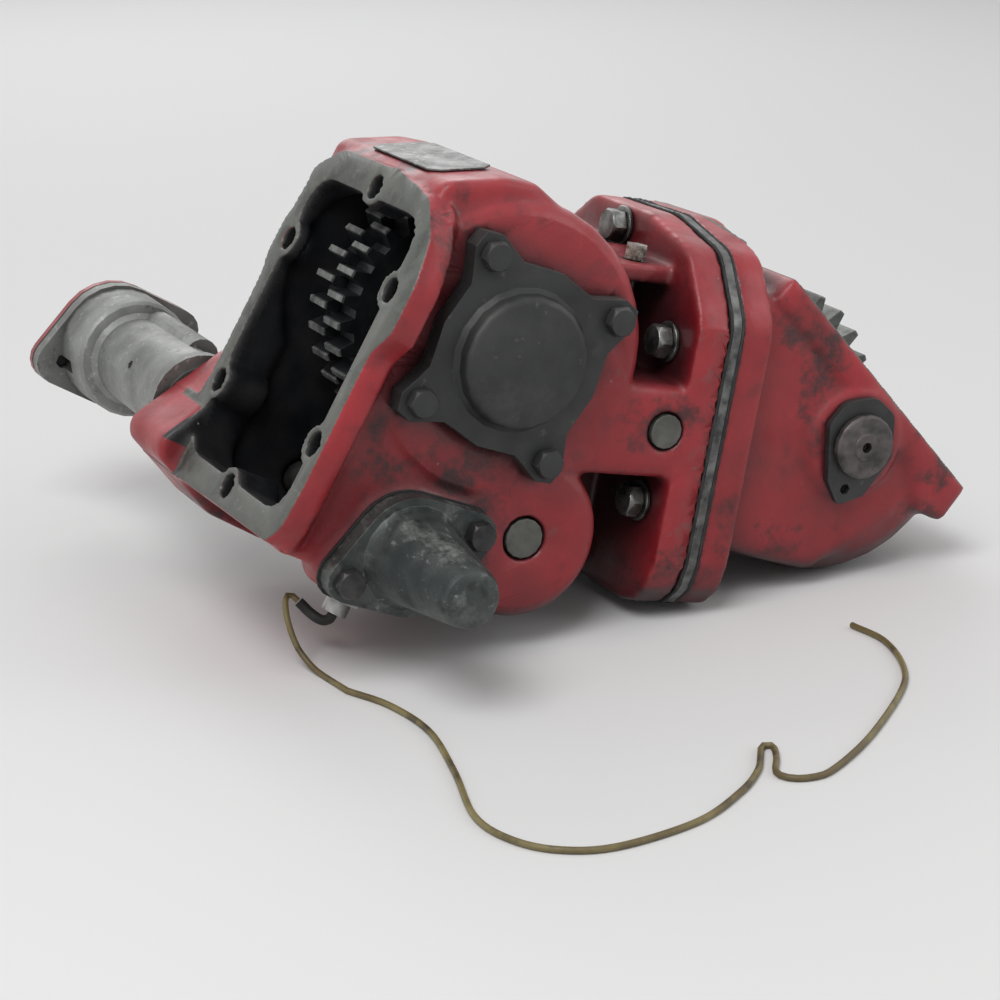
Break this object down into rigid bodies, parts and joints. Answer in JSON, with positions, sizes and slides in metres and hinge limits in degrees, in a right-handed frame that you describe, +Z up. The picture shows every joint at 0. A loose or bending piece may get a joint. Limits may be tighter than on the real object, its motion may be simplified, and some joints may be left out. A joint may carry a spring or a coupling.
{
  "type": "power take off unit",
  "caption": "Truck power take off: a gear housing with an open mounting aperture, an inclined second housing, a gear train, an air shift cylinder and an output flange.",
  "frame": {"origin": "middle of the footprint at the lowest point of the castings, without the loose wire", "axes": "+Z up, +Y from the front cover along the shafts towards the output flange, +X from the aperture face towards the input housing"},
  "size_m": [0.3724, 0.4776, 0.2109],
  "materials": {
    "red_paint": "worn gloss paint over cast iron",
    "black_paint": "worn satin paint",
    "cast_aluminium": "dull cast",
    "worn_cap": "scuffed grey paint",
    "gear_steel": "oiled",
    "bright_steel": "worn bright",
    "dark_steel": "dark oiled",
    "gasket_black": "matte",
    "silver_plate": "satin",
    "wire_sheath": "matte"
  },
  "bodies": {
    "housing": {"breather": "bright_steel", "cylinder_bolt_1": "dark_steel", "cylinder_bolt_2": "dark_steel", "cylinder_end_plate": "red_paint", "cylinder_gasket": "gasket_black", "data_plate": "silver_plate", "drain_plug": "dark_steel", "front_bearing": "bright_steel", "front_cover": "black_paint", "front_cover_bolt_1": "dark_steel", "front_cover_bolt_2": "dark_steel", "front_cover_bolt_3": "dark_steel", "front_cover_bolt_4": "dark_steel", "front_cover_gasket": "gasket_black", "idler_pin": "gear_steel", "indicator_switch": "bright_steel", "input_housing": "red_paint", "input_pin": "dark_steel", "joint_bolt_1": "bright_steel", "joint_bolt_2": "bright_steel", "joint_bolt_3": "bright_steel", "joint_bolt_4": "bright_steel", "joint_bolt_5": "bright_steel", "joint_bolt_6": "bright_steel", "joint_gasket_input": "gasket_black", "joint_gasket_main": "gasket_black", "joint_plate": "bright_steel", "lay_pin": "gear_steel", "main_housing": "red_paint", "neck_bolt_1": "dark_steel", "neck_bolt_2": "dark_steel", "pin_keeper": "dark_steel", "rear_bearing": "bright_steel", "rear_cover": "black_paint", "rear_cover_bolt_1": "dark_steel", "rear_cover_bolt_2": "dark_steel", "rear_cover_bolt_3": "dark_steel", "rear_cover_bolt_4": "dark_steel", "return_spring": "bright_steel", "shaft_seal": "gasket_black", "shift_cap": "worn_cap", "shift_cap_bolt_1": "dark_steel", "shift_cap_bolt_2": "dark_steel", "shift_cap_gasket": "gasket_black", "shift_cylinder": "cast_aluminium", "wire": "wire_sheath", "wire_sleeve": "gasket_black"},
    "output": {"main_shaft": "gear_steel", "driven_gear": "gear_steel", "output_flange": "dark_steel", "flange_nut": "bright_steel"},
    "slider": {"sliding_gear": "gear_steel"},
    "shift": {"shift_rail": "bright_steel", "shift_fork": "gear_steel", "cross_arm": "gear_steel", "shift_piston": "cast_aluminium"},
    "idler": {"idler_gear": "gear_steel"},
    "lay": {"lay_gear": "gear_steel"},
    "input": {"input_gear": "gear_steel"}
  },
  "joints": [
    {"name": "output_spin", "type": "hinge", "parent": "housing", "child": "output", "pos_m": [-0.06123, -0.00815, 0.13491], "axis": [0, 1, 0], "continuous": true},
    {"name": "idler_spin", "type": "hinge", "parent": "housing", "child": "idler", "pos_m": [0.01531, -0.00815, 0.09108], "axis": [0, 1, 0], "continuous": true},
    {"name": "lay_spin", "type": "hinge", "parent": "housing", "child": "lay", "pos_m": [-0.05401, -0.02815, 0.05242], "axis": [0, 1, 0], "continuous": true},
    {"name": "input_spin", "type": "hinge", "parent": "housing", "child": "input", "pos_m": [0.12143, -0.00815, 0.0691], "axis": [0, 1, 0], "continuous": true},
    {"name": "shift_slide", "type": "slide", "parent": "housing", "child": "shift", "axis": [0, -1, 0], "range_m": [0, 0.012], "stiffness_N_per_m": 3000, "springref_m": -0.004, "deforming": ["return_spring"]},
    {"name": "gear_slide", "type": "slide", "parent": "output", "child": "slider", "axis": [0, -1, 0], "range_m": [0, 0.012]}
  ],
  "couplings": [
    {"joint": "idler_spin", "follows": "output_spin", "ratio": -1.3333},
    {"joint": "lay_spin", "follows": "output_spin", "ratio": -1.5556},
    {"joint": "input_spin", "follows": "output_spin", "ratio": 1.3867},
    {"joint": "gear_slide", "follows": "shift_slide", "ratio": 1}
  ]
}
